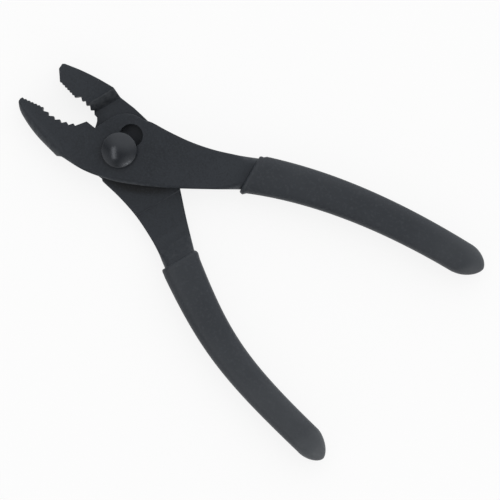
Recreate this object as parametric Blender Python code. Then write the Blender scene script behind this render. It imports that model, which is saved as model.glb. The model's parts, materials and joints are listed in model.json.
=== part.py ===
"""Slip-joint combination pliers: two lapped steel halves, a domed bolt with its nut, and two dipped grips.

The pliers lie flat with the bolt's dome up. The origin is on the pivot axis, in the plane that the grips
and the nut rest on. +X runs along the tool towards the handles, and +Y towards the handle of the front
(upper) half. Lengths below are millimetres; MM turns them into metres where a mesh is made.
"""

import math

import bmesh
import bpy
from mathutils import Matrix, Vector
from mathutils.geometry import interpolate_bezier

MM = 0.001

# Clearances
FIT_GAP = 0.3
LAP_GAP = 0.3

# Heights
HEAD_THICKNESS = 10.9
GRIP_THICKNESS = 12.5
PAD_STEP = 0.6

# Rubber over the tang: beside it, above and below it, and past its end
GRIP_WALL = 1.05
GRIP_ROOF = 1.75
GRIP_END_WALL = 4.5

# Both halves, measured from the pivot along each half's own axis
SHOULDER_AT = 18.8
SHOULDER_RUN = 3.0
PAD_END = 26.0
MOUTH_AT = 51.5
RAMP_RUN = 5.5
FRONT_LEAN = 7.0
BACK_LEAN = -22.5

# Jaw of the front half: flat, toothed pipe grip, cutter hump and back
FRONT_TIP = (-44.9, -7.2)
FRONT_FLAT_END = (-35.5, -4.8)
FRONT_TEETH_END = (-21.5, -3.0)
FRONT_PIPE_SAG = 1.25
FRONT_VALLEY = (-20.4, -3.1)
FRONT_HUMP = (-17.6, 1.3)
CUTTER_NOTCH = (-13.3, 1.2)
FRONT_JAW_BACK = ((-44.3, -9.2), (-40.6, -12.1), (-31.2, -15.3), (-19.2, -17.2))
FRONT_EDGE_STEP = (-17.4, -16.2)

# Plate and shank of the front half
FRONT_PLATE_RADIUS = 11.9
FRONT_PLATE_END = 166.0
FRONT_LOWER_EDGE = ((-7.4, -15.3), (0.9, -13.0), (9.9, -9.3), (24.1, -0.9), (39.2, 9.7))
FRONT_UPPER_EDGE = (
    (39.5, 27.2),
    (30.5, 23.2),
    (21.2, 20.2),
    (11.6, 18.2),
    (4.3, 17.1),
    (0.8, 15.9),
)

# Jaw of the back half
BACK_TIP = (-36.0, 8.0)
BACK_FLAT_END = (-27.5, 6.9)
BACK_TEETH_START = (-26.6, 7.6)
BACK_TEETH_END = (-16.8, 5.9)
BACK_PIPE_SAG = 0.3
BACK_THROAT = ((-15.1, 5.5), (-14.0, 4.0))
BACK_TIP_FACE = ((-39.6, 11.9), (-39.7, 14.2))
BACK_JAW_BACK = ((-38.9, 14.8), (-31.9, 16.7), (-24.6, 18.1), (-17.3, 19.0))
BACK_EDGE_STEP = (-12.8, 17.5)

# Lap plate and shank of the back half
BACK_LAP_RADIUS = 13.5
BACK_LAP_TOP = ((-5.5, 17.4), (3.0, 16.4), (11.5, 14.6), (20.0, 10.4))
BACK_OUTER_EDGE = ((2.2, -14.2), (11.9, -15.3), (21.5, -17.3), (30.8, -20.5), (38.0, -23.9))
BACK_INNER_EDGE = ((38.9, -6.1), (29.6, 2.0))

# Teeth
COARSE_TOOTH_PITCH = 2.75
COARSE_TOOTH_DEPTH = 0.85
COARSE_TOOTH_LEAN = 0.35
FINE_TOOTH_PITCH = 1.5
FINE_TOOTH_DEPTH = 0.3
FINE_TOOTH_LEAN = 0.5

# Handles: the middle line of each grip from its mouth to its end, with its heading and width at both,
# and how much narrower than a straight taper it is halfway
FRONT_MOUTH = (46.4, 23.25)
FRONT_MOUTH_HEADING = 28.8
FRONT_MOUTH_WIDTH = 15.8
FRONT_REACH = 148.0
FRONT_SPREAD = 50.2
FRONT_END_HEADING = 4.3
FRONT_END_WIDTH = 12.9
FRONT_WAIST = -0.2
BACK_MOUTH = (44.6, -19.45)
BACK_MOUTH_HEADING = -36.5
BACK_MOUTH_WIDTH = 16.1
BACK_REACH = 142.4
BACK_SPREAD = 50.1
BACK_END_HEADING = -7.3
BACK_END_WIDTH = 11.7
BACK_WAIST = 0.5
GRIP_END_ROUND = 7.5
GRIP_RUN_IN = 12.0

# Slip slot, bolt and nut
SLOT_PITCH = 7.7
SLOT_TURN = 87.0
LOBE_RADIUS = 4.7
NECK_WIDTH = 5.6
HEAD_RADIUS = 7.3
HEAD_LIP = 0.9
DOME_RISE = 3.7
BOLT_SHANK_RADIUS = 3.7
THREAD_RADIUS = 3.1
NUT_ACROSS_FLATS = 11.0
NUT_SEAT_DEPTH = 2.4

# Facets
CURVE_STEPS = 4
SPINE_STEPS = 24
ARC_STEPS = 10
ROUND_SIDES = 40
GRIP_SIDES = 28
GRIP_END_RINGS = 7
GRIP_SQUARENESS = 4.5
OVERRUN = 30.0

# Worked out from the sizes above
MID = GRIP_THICKNESS / 2
TOP = MID + HEAD_THICKNESS / 2
BOTTOM = MID - HEAD_THICKNESS / 2
LAP_UPPER = MID + LAP_GAP / 2
TANG_COVER = GRIP_WALL + FIT_GAP
TANG_LOW = GRIP_ROOF + FIT_GAP
TANG_HIGH = GRIP_THICKNESS - TANG_LOW
NUT_SEAT_TOP = BOTTOM + NUT_SEAT_DEPTH
NUT_CORNER_RADIUS = NUT_ACROSS_FLATS / math.sqrt(3)
NUT_SEAT_RADIUS = NUT_CORNER_RADIUS + FIT_GAP
FRONT_SPINE = (
    (FRONT_MOUTH, FRONT_MOUTH_HEADING, FRONT_MOUTH_WIDTH),
    ((FRONT_REACH, FRONT_SPREAD), FRONT_END_HEADING, FRONT_END_WIDTH),
    FRONT_WAIST,
)
BACK_SPINE = (
    (BACK_MOUTH, BACK_MOUTH_HEADING, BACK_MOUTH_WIDTH),
    ((BACK_REACH, -BACK_SPREAD), BACK_END_HEADING, BACK_END_WIDTH),
    BACK_WAIST,
)

STEEL_BLACK = (0.035, 0.038, 0.042, 1.0)
BOLT_BLACK = (0.045, 0.047, 0.050, 1.0)
GRIP_BLACK = (0.042, 0.044, 0.046, 1.0)


def arc(centre, radius, start, end, steps):
    """Points on a circle from one angle to another, in degrees."""
    turn = [math.radians(start + (end - start) * i / steps) for i in range(steps + 1)]
    return [Vector((centre[0] + radius * math.cos(a), centre[1] + radius * math.sin(a))) for a in turn]


def through(points, steps=CURVE_STEPS):
    """A smooth open curve through the points (a Catmull-Rom spline), in any number of dimensions."""
    knots = [Vector(p) for p in points]
    knots = [2 * knots[0] - knots[1], *knots, 2 * knots[-1] - knots[-2]]
    curve = []
    for a, b, c, d in zip(knots, knots[1:], knots[2:], knots[3:]):
        for i in range(steps):
            t = i / steps
            squared = (2 * a - 5 * b + 4 * c - d) * t**2
            cubed = (3 * b - a - 3 * c + d) * t**3
            curve.append((2 * b + (c - a) * t + squared + cubed) / 2)
    return [*curve, knots[-2]]


def sagged(start, end, sag, pitch):
    """Tooth tips about a pitch apart on a shallow parabola that sags to the right of its way."""
    a, b = Vector(start), Vector(end)
    count = max(1, round((b - a).length / pitch))
    side = Vector(((b - a).y, -(b - a).x)).normalized()
    shares = [i / count for i in range(count + 1)]
    return [a.lerp(b, t) + side * (4 * sag * t * (1 - t)) for t in shares]


def teeth(tips, depth, lean):
    """A saw edge through the tips: after each one it drops to a valley on the right, then rises again."""
    edge = [tips[0]]
    for a, b in zip(tips, tips[1:]):
        side = Vector(((b - a).y, -(b - a).x)).normalized()
        edge += [a.lerp(b, lean) + side * depth, b]
    return edge


def towards(turn):
    """The direction at an angle in plan, in degrees."""
    return Vector((math.cos(math.radians(turn)), math.sin(math.radians(turn))))


def stations(spine):
    """Middle line of a handle, one cubic curve, as (point, heading, half width)."""
    (mouth, mouth_heading, mouth_width), (end, end_heading, end_width), waist = spine
    start, stop = Vector(mouth), Vector(end)
    pull = (stop - start).length / 3
    leaving, arriving = start + towards(mouth_heading) * pull, stop - towards(end_heading) * pull
    curve = interpolate_bezier(start, leaving, arriving, stop, SPINE_STEPS + 1)
    rows = []
    for i, here in enumerate(curve):
        before, after = curve[max(i - 1, 0)], curve[min(i + 1, SPINE_STEPS)]
        t = i / SPINE_STEPS
        width = mouth_width + (end_width - mouth_width) * t - 4 * waist * t * (1 - t)
        rows.append((here.xy, (after - before).xy.normalized(), width / 2))
    return rows


def left_of(heading):
    return Vector((-heading.y, heading.x))


def length_of(rows):
    return sum((b[0] - a[0]).length for a, b in zip(rows, rows[1:]))


def handle_edge(run_in, spine, run_out):
    """Plan edge of a shank and its tang: along the right side, round the end and back on the left."""
    rows = stations(spine)
    end_radius = rows[-1][2] - TANG_COVER
    keep = length_of(rows) - GRIP_END_WALL - FIT_GAP - end_radius
    kept, run = [rows[0]], 0.0
    for a, b in zip(rows, rows[1:]):
        step = (b[0] - a[0]).length
        if run + step > keep:
            share = (keep - run) / step
            kept.append((a[0].lerp(b[0], share), a[1], a[2] + (b[2] - a[2]) * share))
            break
        kept.append(b)
        run += step
    right = [p - left_of(h) * (w - TANG_COVER) for p, h, w in kept]
    left = [p + left_of(h) * (w - TANG_COVER) for p, h, w in reversed(kept)]
    end, heading, half = kept[-1]
    aim = math.degrees(math.atan2(heading.y, heading.x))
    tip = arc(end, half - TANG_COVER, aim - 90, aim + 90, ARC_STEPS)[1:-1]
    return through((*run_in, right[0])) + right[1:] + tip + left + through((left[-1], *run_out))[1:]


def grown(edge, more):
    """The edge moved outwards, with its solid on the left of its way."""
    moved = []
    for i, here in enumerate(edge):
        way = edge[min(i + 1, len(edge) - 1)] - edge[max(i - 1, 0)]
        moved.append(here - left_of(way.normalized()) * more)
    return moved


def front_outline():
    """Plan of the front half, counter-clockwise from the jaw's tip along its back to the handle."""
    slot_middle = towards(SLOT_TURN) * SLOT_PITCH / 2
    join = Vector(FRONT_UPPER_EDGE[-1]) - slot_middle
    start = math.degrees(math.atan2(join.y, join.x))
    plate_edge = arc(slot_middle, FRONT_PLATE_RADIUS, start, FRONT_PLATE_END, ARC_STEPS)
    pipe = sagged(FRONT_TEETH_END, FRONT_FLAT_END, -FRONT_PIPE_SAG, COARSE_TOOTH_PITCH)
    coarse = teeth(pipe, -COARSE_TOOTH_DEPTH, 1 - COARSE_TOOTH_LEAN)
    flat = sagged(FRONT_FLAT_END, FRONT_TIP, 0.0, FINE_TOOTH_PITCH)
    fine = teeth(flat, -FINE_TOOTH_DEPTH, FINE_TOOTH_LEAN)
    edge = through(FRONT_JAW_BACK)
    edge += handle_edge((FRONT_EDGE_STEP, *FRONT_LOWER_EDGE), FRONT_SPINE, FRONT_UPPER_EDGE)
    edge += plate_edge
    edge += [Vector(CUTTER_NOTCH), Vector(FRONT_HUMP), Vector(FRONT_VALLEY)]
    return edge + coarse + fine[1:]


def back_outline():
    """Plan of the back half, counter-clockwise from the jaw's tip along its mouth to the handle."""
    notch = Vector(CUTTER_NOTCH)
    lap_start = math.degrees(math.atan2(notch.y, notch.x))
    outer = Vector(BACK_OUTER_EDGE[0])
    lap_end = 360 + math.degrees(math.atan2(outer.y, outer.x))
    flat = sagged(BACK_TIP, BACK_FLAT_END, 0.0, FINE_TOOTH_PITCH)
    pipe = sagged(BACK_TEETH_START, BACK_TEETH_END, -BACK_PIPE_SAG, COARSE_TOOTH_PITCH)
    edge = teeth(flat, -FINE_TOOTH_DEPTH, FINE_TOOTH_LEAN)
    edge += teeth(pipe, -COARSE_TOOTH_DEPTH, COARSE_TOOTH_LEAN)
    edge += through((*BACK_THROAT, CUTTER_NOTCH))
    edge += arc((0, 0), BACK_LAP_RADIUS, lap_start, lap_end, ARC_STEPS)[1:-1]
    edge += handle_edge(BACK_OUTER_EDGE, BACK_SPINE, BACK_INNER_EDGE)
    edge += through(BACK_LAP_TOP[::-1])
    edge += [Vector(BACK_EDGE_STEP)]
    edge += through(BACK_JAW_BACK[::-1])
    return edge + [Vector(p) for p in BACK_TIP_FACE[::-1]]


def lever_profile():
    """Side view of the front half as (along, height): jaw at full depth, lap, ground pad, ramp and tang."""
    ramp_at = MOUTH_AT - RAMP_RUN
    far = FRONT_REACH + OVERRUN
    near = FRONT_TIP[0] - OVERRUN
    shank = LAP_UPPER + PAD_STEP
    jaw = [(near, TOP), (near, BOTTOM), (-SHOULDER_AT - SHOULDER_RUN, BOTTOM)]
    lap = [(-SHOULDER_AT, LAP_UPPER), (PAD_END, LAP_UPPER), (PAD_END + PAD_STEP, shank), (ramp_at, shank)]
    tang = [(MOUTH_AT, TANG_LOW), (far, TANG_LOW), (far, TANG_HIGH), (MOUTH_AT, TANG_HIGH), (ramp_at, TOP)]
    return jaw + lap + tang


def material(name, colour, roughness, metallic):
    made = bpy.data.materials.new(name)
    made.use_nodes = True
    shader = made.node_tree.nodes["Principled BSDF"]
    shader.inputs["Base Color"].default_value = colour
    shader.inputs["Roughness"].default_value = roughness
    shader.inputs["Metallic"].default_value = metallic
    return made


def add_object(name, mesh_maker, finish=None):
    """An object whose bmesh is in millimetres, closed with its faces outwards, and turned into metres."""
    bm = bmesh.new()
    mesh_maker(bm)
    bmesh.ops.remove_doubles(bm, verts=bm.verts, dist=1e-4)
    bmesh.ops.recalc_face_normals(bm, faces=bm.faces)
    bmesh.ops.scale(bm, vec=(MM, MM, MM), verts=bm.verts)
    mesh = bpy.data.meshes.new(name)
    bm.to_mesh(mesh)
    bm.free()
    obj = bpy.data.objects.new(name, mesh)
    bpy.context.scene.collection.objects.link(obj)
    if finish:
        mesh.materials.append(finish)
    return obj


def add_cutter(name, mesh_maker):
    cutter = add_object(name, mesh_maker)
    cutter.hide_render = True
    cutter.display_type = "WIRE"
    return cutter


def combine(obj, cutter, operation):
    change = obj.modifiers.new(cutter.name, "BOOLEAN")
    change.operation = operation
    change.solver = "EXACT"
    change.object = cutter


def plate(outline, low, high):
    """Maker of a flat plate with this plan between two heights."""

    def make(bm):
        face = bm.faces.new([bm.verts.new((p.x, p.y, low)) for p in outline])
        lifted = bmesh.ops.extrude_face_region(bm, geom=[face])["geom"]
        rise = [v for v in lifted if isinstance(v, bmesh.types.BMVert)]
        bmesh.ops.translate(bm, vec=(0, 0, high - low), verts=rise)

    return make


def side_prism(profile, lean, width):
    """Maker of a prism with this side view, its length leaning by an angle in plan."""

    def make(bm):
        face = bm.faces.new([bm.verts.new((along, -width, height)) for along, height in profile])
        drawn = bmesh.ops.extrude_face_region(bm, geom=[face])["geom"]
        move = [v for v in drawn if isinstance(v, bmesh.types.BMVert)]
        bmesh.ops.translate(bm, vec=(0, 2 * width, 0), verts=move)
        bmesh.ops.rotate(bm, matrix=Matrix.Rotation(math.radians(lean), 3, "Z"), verts=bm.verts)

    return make


def drum(centre, radius, low, high, sides=ROUND_SIDES):
    """Maker of an upright cylinder."""
    return plate(arc(centre, radius, 0, 360 - 360 / sides, sides - 1), low, high)


def bar(length, width, turn, low, high):
    """Maker of an upright bar from the pivot axis along an angle in plan."""
    end = towards(turn) * length
    side = left_of(towards(turn)) * width / 2
    return plate([-side, end - side, end + side, side], low, high)


def front_half(finish):
    low, high = BOTTOM - OVERRUN, TOP + OVERRUN
    half = add_object("front_half", plate(front_outline(), low, high), finish)
    reach = FRONT_REACH + OVERRUN
    side_view = side_prism(lever_profile(), FRONT_LEAN, reach)
    combine(half, add_cutter("front_side_view", side_view), "INTERSECT")
    combine(half, add_cutter("slot_near_lobe", drum((0, 0), LOBE_RADIUS, low, high)), "DIFFERENCE")
    far_lobe = drum(towards(SLOT_TURN) * SLOT_PITCH, LOBE_RADIUS, low, high)
    combine(half, add_cutter("slot_far_lobe", far_lobe), "DIFFERENCE")
    combine(half, add_cutter("slot_neck", bar(SLOT_PITCH, NECK_WIDTH, SLOT_TURN, low, high)), "DIFFERENCE")
    return half


def back_half(finish):
    half = add_object("back_half", plate(back_outline(), BOTTOM - OVERRUN, TOP + OVERRUN), finish)
    reach = BACK_REACH + OVERRUN
    flipped = [(along, 2 * MID - height) for along, height in lever_profile()]
    combine(half, add_cutter("back_side_view", side_prism(flipped, BACK_LEAN, reach)), "INTERSECT")
    hole = drum((0, 0), BOLT_SHANK_RADIUS + FIT_GAP, BOTTOM - OVERRUN, TOP)
    combine(half, add_cutter("bolt_hole", hole), "DIFFERENCE")
    seat = drum((0, 0), NUT_SEAT_RADIUS, BOTTOM - OVERRUN, NUT_SEAT_TOP)
    combine(half, add_cutter("nut_seat", seat), "DIFFERENCE")
    return half


def grip_section(centre, heading, half_width, half_height):
    """Rounded-square section across the handle."""
    points = []
    for i in range(GRIP_SIDES):
        turn = 2 * math.pi * i / GRIP_SIDES
        c, s = math.cos(turn), math.sin(turn)
        across = math.copysign(abs(c) ** (2 / GRIP_SQUARENESS), c) * half_width
        up = math.copysign(abs(s) ** (2 / GRIP_SQUARENESS), s) * half_height
        plan = centre + left_of(heading) * across
        points.append((plan.x, plan.y, MID + up))
    return points


def grip_stations(spine):
    """Middle line of a grip from before its mouth to its tip, with the share of its section there."""
    rows = stations(spine)
    first = rows[0]
    rows = [(first[0] - first[1] * GRIP_RUN_IN, first[1], first[2]), *rows]
    total, run, placed = length_of(rows), 0.0, []
    for i, (point, heading, half) in enumerate(rows):
        run += (point - rows[i - 1][0]).length if i else 0.0
        if total - run < GRIP_END_ROUND:
            break
        placed.append((point, heading, half, 1.0))
    end, heading, half = rows[-1]
    for i in range(GRIP_END_RINGS):
        turn = math.radians(90 * i / (GRIP_END_RINGS - 0.5))
        back = GRIP_END_ROUND * (1 - math.sin(turn))
        placed.append((end - heading * back, heading, half, math.cos(turn)))
    return placed


def grip_body(spine, lean):
    """Maker of a dipped grip's outside, cut square to the half's own axis at its mouth."""

    def make(bm):
        loops = []
        for centre, heading, half, share in grip_stations(spine):
            ring = grip_section(centre, heading, half * share, MID * share)
            loops.append([bm.verts.new(p) for p in ring])
        for a, b in zip(loops, loops[1:]):
            for i in range(GRIP_SIDES):
                j = (i + 1) % GRIP_SIDES
                bm.faces.new((a[i], a[j], b[j], b[i]))
        bm.faces.new(loops[0])
        bm.faces.new(loops[-1])
        axis = towards(lean).to_3d()
        whole = [*bm.verts, *bm.edges, *bm.faces]
        mouth = axis * MOUTH_AT
        bmesh.ops.bisect_plane(bm, geom=whole, plane_co=mouth, plane_no=axis, clear_inner=True)
        rim = [e for e in bm.edges if e.is_boundary]
        bmesh.ops.contextual_create(bm, geom=rim)

    return make


def add_grip(name, run_in, spine, run_out, lean, finish):
    grip = add_object(name, grip_body(spine, lean), finish)
    pocket = grown(handle_edge(run_in[-2:], spine, run_out[:2]), FIT_GAP)
    room = plate(pocket, TANG_LOW - FIT_GAP, TANG_HIGH + FIT_GAP)
    combine(grip, add_cutter(name + "_pocket", room), "DIFFERENCE")
    grip.data.shade_smooth()
    return grip


def pivot_bolt(finish):
    """Shoulder bolt: domed head, slotted-hole shank with two flats, round shank and threaded end."""
    seat = TOP + FIT_GAP
    cap = seat + HEAD_LIP
    sphere = (HEAD_RADIUS**2 + DOME_RISE**2) / (2 * DOME_RISE)
    spread = math.degrees(math.asin(min(1.0, HEAD_RADIUS / sphere)))
    dome = arc((0, cap + DOME_RISE - sphere), sphere, 90, 90 - spread, ARC_STEPS)
    dome[0].x = 0
    upper = LOBE_RADIUS - FIT_GAP
    steps = [(HEAD_RADIUS, seat), (upper, seat), (upper, LAP_UPPER), (BOLT_SHANK_RADIUS, LAP_UPPER)]
    steps += [(BOLT_SHANK_RADIUS, NUT_SEAT_TOP), (THREAD_RADIUS, NUT_SEAT_TOP), (THREAD_RADIUS, 0), (0, 0)]
    profile = dome + [Vector(p) for p in steps]

    def make(bm):
        verts = [bm.verts.new((p.x, 0, p.y)) for p in profile]
        edges = [bm.edges.new(pair) for pair in zip(verts, verts[1:])]
        bmesh.ops.spin(
            bm,
            geom=[*verts, *edges],
            axis=(0, 0, 1),
            cent=(0, 0, 0),
            angle=2 * math.pi,
            steps=ROUND_SIDES,
            use_merge=True,
        )

    bolt = add_object("pivot_bolt", make, finish)
    flat_at = NECK_WIDTH / 2 - FIT_GAP
    along = towards(SLOT_TURN)
    for side in (-1, 1):
        near, far = left_of(along) * side * flat_at, left_of(along) * side * 2 * LOBE_RADIUS
        run = along * 2 * LOBE_RADIUS
        corners = [near - run, near + run, far + run, far - run]
        name = "bolt_flat_right" if side < 0 else "bolt_flat_left"
        combine(bolt, add_cutter(name, plate(corners, LAP_UPPER, seat)), "DIFFERENCE")
    bolt.data.shade_smooth()
    return bolt


def pivot_nut(finish):
    hexagon = drum((0, 0), NUT_CORNER_RADIUS, 0, NUT_SEAT_TOP - FIT_GAP, 6)
    nut = add_object("pivot_nut", hexagon, finish)
    bore = drum((0, 0), THREAD_RADIUS + FIT_GAP, -OVERRUN, OVERRUN)
    combine(nut, add_cutter("nut_bore", bore), "DIFFERENCE")
    return nut


def add_lever(name, pieces, parent=None):
    """An empty on the pivot axis that carries the pieces that move together."""
    lever = bpy.data.objects.new(name, None)
    bpy.context.scene.collection.objects.link(lever)
    lever.parent = parent
    for piece in pieces:
        piece.parent = lever
    return lever


def main():
    for old in list(bpy.data.objects):
        bpy.data.objects.remove(old, do_unlink=True)
    front_steel = material("front_steel", STEEL_BLACK, 0.42, 0.6)
    back_steel = material("back_steel", STEEL_BLACK, 0.42, 0.6)
    bolt_steel = material("bolt_steel", BOLT_BLACK, 0.32, 0.6)
    nut_steel = material("nut_steel", BOLT_BLACK, 0.36, 0.6)
    front_rubber = material("front_rubber", GRIP_BLACK, 0.62, 0.0)
    back_rubber = material("back_rubber", GRIP_BLACK, 0.62, 0.0)
    front_run = (FRONT_LOWER_EDGE, FRONT_SPINE, FRONT_UPPER_EDGE)
    back_run = (BACK_OUTER_EDGE, BACK_SPINE, BACK_INNER_EDGE)
    front_grip = add_grip("front_grip", *front_run, FRONT_LEAN, front_rubber)
    back_grip = add_grip("back_grip", *back_run, BACK_LEAN, back_rubber)
    front = add_lever("front_lever", [front_half(front_steel), front_grip])
    pivot = add_lever("pivot", [pivot_bolt(bolt_steel), pivot_nut(nut_steel)], front)
    add_lever("back_lever", [back_half(back_steel), back_grip], pivot)


main()
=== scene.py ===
"""Looks of black slip-joint combination pliers: two forged halves, a domed bolt, its nut and two grips.

The file is laid out as an add-on and run as a script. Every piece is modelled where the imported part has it:
the origin on the pivot axis, +X towards the handles, +Z up towards the bolt's dome, lengths in metres.
"""

import json
import math
from collections import namedtuple

import bmesh
import bpy
from mathutils import Matrix, Quaternion, Vector
from mathutils.geometry import interpolate_bezier


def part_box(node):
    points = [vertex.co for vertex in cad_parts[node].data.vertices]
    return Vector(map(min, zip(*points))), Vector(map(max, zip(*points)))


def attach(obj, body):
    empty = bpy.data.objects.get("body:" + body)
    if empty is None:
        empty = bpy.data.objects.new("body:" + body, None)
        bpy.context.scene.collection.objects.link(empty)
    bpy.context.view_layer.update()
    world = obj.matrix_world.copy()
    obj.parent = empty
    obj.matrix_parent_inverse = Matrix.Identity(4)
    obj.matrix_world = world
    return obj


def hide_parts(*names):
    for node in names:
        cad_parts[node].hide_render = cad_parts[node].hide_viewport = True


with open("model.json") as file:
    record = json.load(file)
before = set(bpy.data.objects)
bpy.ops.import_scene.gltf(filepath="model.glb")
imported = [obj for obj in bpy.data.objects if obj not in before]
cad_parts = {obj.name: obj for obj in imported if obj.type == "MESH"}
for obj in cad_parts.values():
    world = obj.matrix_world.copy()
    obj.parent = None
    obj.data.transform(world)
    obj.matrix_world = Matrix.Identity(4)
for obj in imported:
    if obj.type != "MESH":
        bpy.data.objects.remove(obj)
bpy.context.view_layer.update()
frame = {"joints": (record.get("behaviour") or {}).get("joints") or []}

bl_info = {
    "name": "Slip-joint Pliers",
    "version": (1, 0, 0),
    "blender": (4, 5, 0),
    "location": "3D View > Sidebar > Pliers",
    "description": "Models and finishes slip-joint combination pliers, piece by piece",
    "category": "Add Mesh",
}

MM = 0.001


def plan(*points):
    """Points written in millimetres, as vectors in metres: x, y, then rim width and rim drop if given."""
    return [Vector(point) * MM for point in points]


def length(name, description, millimetres, least=0.0):
    """A length that a user can change, with its default written in millimetres."""
    default = millimetres * MM
    return bpy.props.FloatProperty(
        name=name, description=description, default=default, min=least, precision=5, unit="LENGTH"
    )


def colour(name, description, default):
    return bpy.props.FloatVectorProperty(
        name=name, description=description, default=default, size=3, min=0.0, max=1.0, subtype="COLOR"
    )


def share(name, description, default):
    return bpy.props.FloatProperty(
        name=name, description=description, default=default, min=0.0, max=1.0, subtype="FACTOR"
    )


def power(name, description, default):
    return bpy.props.FloatProperty(
        name=name, description=description, default=default, min=0.0, unit="POWER"
    )


def brightness(name, description, default):
    return bpy.props.FloatProperty(name=name, description=description, default=default, min=0.0)


def angle(name, description, degrees):
    """An angle that a user can change, with its default written in degrees."""
    default = math.radians(degrees)
    return bpy.props.FloatProperty(name=name, description=description, default=default, unit="ROTATION")


def fullness(name, description, default, least=2.0):
    """The power of a rounded form's superellipse."""
    return bpy.props.FloatProperty(name=name, description=description, default=default, min=least)


# Rims in millimetres: how far an edge is rounded inwards, and how far it drops
TOOTH_RIM = (0.12, 0.12)
NOTCH_RIM = (0.25, 0.25)
PLATE_RIM = (0.5, 0.4)
SLOT_RIM = (0.3, 0.3)
LAP_RIM = (0.4, 0.3)
TANG_RIM = (3.2, 3.0)

# Most that a rim on the underside measures either way, past the jaw
UNDER_RIM = 0.5 * MM

# Section of a rim: 1 is a quarter of an oval, more runs out flatter into the face
RIM_SOFTNESS = 1.15

# A hair's breadth: the strip that keeps a face's shading flat beside its rim, and the play in finding points
GUARD = 0.06 * MM

# Rims narrower than the first keep a dark line of painted shade, and those wider than the second turn pale,
# partly edge wear and partly painted highlight
RIM_WEAR_AND_LIGHT = (0.7 * MM, 2.2 * MM)

# Share of a wide rim over which its pale tone, edge wear and painted highlight, fades
RIM_WEAR_AND_LIGHT_SHARE = 0.8

# Front half in millimetres: flat, pipe grip and cutter hump, the jaw's back, the shank's two edges, and the
# round edge of its plate, as a radius and the angle in degrees where it ends
FRONT_TIP = (-44.4, -7.05)
FRONT_FLAT_END = (-35.5, -5.1)
FRONT_TEETH_END = (-21.5, -3.0)
FRONT_PIPE_SAG = 1.25
FRONT_CUTTER = ((-13.3, 1.2), (-17.6, 1.3), (-20.4, -3.1))
FRONT_JAW_BACK = plan(
    (-44.9, -7.6, 0.5, 0.5),
    (-44.4, -9.2, 1.6, 1.4),
    (-40.6, -12.1, 3.6, 3.2),
    (-31.2, -15.3, 5.8, 4.5),
    (-19.2, -17.2, 4.8, 4.0),
)
FRONT_LOWER_EDGE = plan(
    (-17.4, -16.2, 2.4, 1.8),
    (-7.4, -15.3, 1.7, 1.1),
    (0.9, -13.0, 2.0, 1.3),
    (9.9, -9.3, 2.4, 1.5),
    (24.1, -0.9, 1.8, 1.1),
    (39.2, 9.7, 0.9, 0.7),
)
FRONT_UPPER_EDGE = plan(
    (39.5, 27.2, 0.8, 0.6),
    (30.5, 23.2, 0.7, 0.5),
    (21.2, 20.2, 0.7, 0.5),
    (11.6, 18.2, 0.7, 0.5),
    (4.3, 17.1, 0.6, 0.5),
    (0.8, 15.9, 0.5, 0.4),
)
FRONT_PLATE_RADIUS = 11.9
FRONT_PLATE_END = 166.0

# Back half: the same, with its lap plate between the jaw and the shank
BACK_TIP = (-36.0, 8.3)
BACK_FLAT_END = (-27.5, 6.9)
BACK_TEETH_START = (-26.6, 7.6)
BACK_TEETH_END = (-16.8, 5.9)
BACK_PIPE_SAG = 0.3
BACK_THROAT = ((-15.4, 5.4), (-14.3, 3.8), (-13.4, 1.2))
BACK_LAP_RADIUS = 13.5
BACK_OUTER_EDGE = plan(
    (2.2, -14.2, 0.8, 0.6),
    (11.9, -15.3, 1.0, 0.8),
    (21.5, -17.3, 0.9, 0.7),
    (30.8, -20.5, 0.9, 0.7),
    (37.4, -23.4, 1.2, 1.0),
)
BACK_INNER_EDGE = plan((38.9, -6.1, 0.8, 0.7), (29.6, 2.0, 0.8, 0.6))
BACK_LAP_TOP = plan(
    (20.0, 10.4, 0.6, 0.5),
    (11.5, 14.6, 0.5, 0.4),
    (3.0, 16.4, 0.5, 0.4),
    (-5.5, 17.4, 0.5, 0.4),
)
BACK_JAW_BACK = plan(
    (-12.8, 17.5, 0.5, 0.5),
    (-17.3, 19.0, 0.6, 0.5),
    (-24.6, 18.1, 0.6, 0.5),
    (-31.9, 16.7, 0.6, 0.5),
    (-38.9, 14.8, 0.6, 0.5),
)
BACK_TIP_FACE = plan((-39.7, 14.2, 0.5, 0.5), (-39.6, 11.9, 0.5, 0.5))

# Handles in millimetres and degrees: start, heading and width there, the same at the end, the narrowing
# halfway, how far the curve holds each heading as a share of the way between its ends, the turn of the nose
# past the end heading, and how far the grip stands outside the tang at its mouth, on the right and the left
Handle = namedtuple("Handle", "start heading width end end_heading end_width waist holds nose_turn covers")
FRONT_HANDLE = Handle(
    start=(46.4, 23.3),
    heading=29.2,
    width=16.5,
    end=(148.5, 50.1),
    end_heading=4.3,
    end_width=13.55,
    waist=0.35,
    holds=(0.33, 0.33),
    nose_turn=5.0,
    covers=(1.6, 1.6),
)
BACK_HANDLE = Handle(
    start=(44.95, -20.35),
    heading=-30.0,
    width=16.7,
    end=(142.9, -49.55),
    end_heading=-6.5,
    end_width=12.5,
    waist=1.05,
    holds=(0.39, 0.5),
    nose_turn=-6.0,
    covers=(1.95, 1.0),
)

# Teeth in millimetres: pitch, depth, where between two tips the valley lies, and how proud the tips stand
Saw = namedtuple("Saw", "pitch depth valley proud")
COARSE_TEETH = Saw(2.75, 1.15, 0.35, 0.3)
FINE_TEETH = Saw(1.5, 0.5, 0.5, 0.4)

# Slopes along a half are painted pale as painted light, between the first and the second steepness, the
# ramps more so
SLOPE_PAINTED_LIGHT = (0.2, 1.1)
RAMP_PAINTED_LIGHT = 1.2

# Fillets of the slopes along a half, each a share of its slope
SHOULDER_FILLET = 0.15
PAD_FILLET = 0.4
RAMP_FILLET = 0.35

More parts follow.
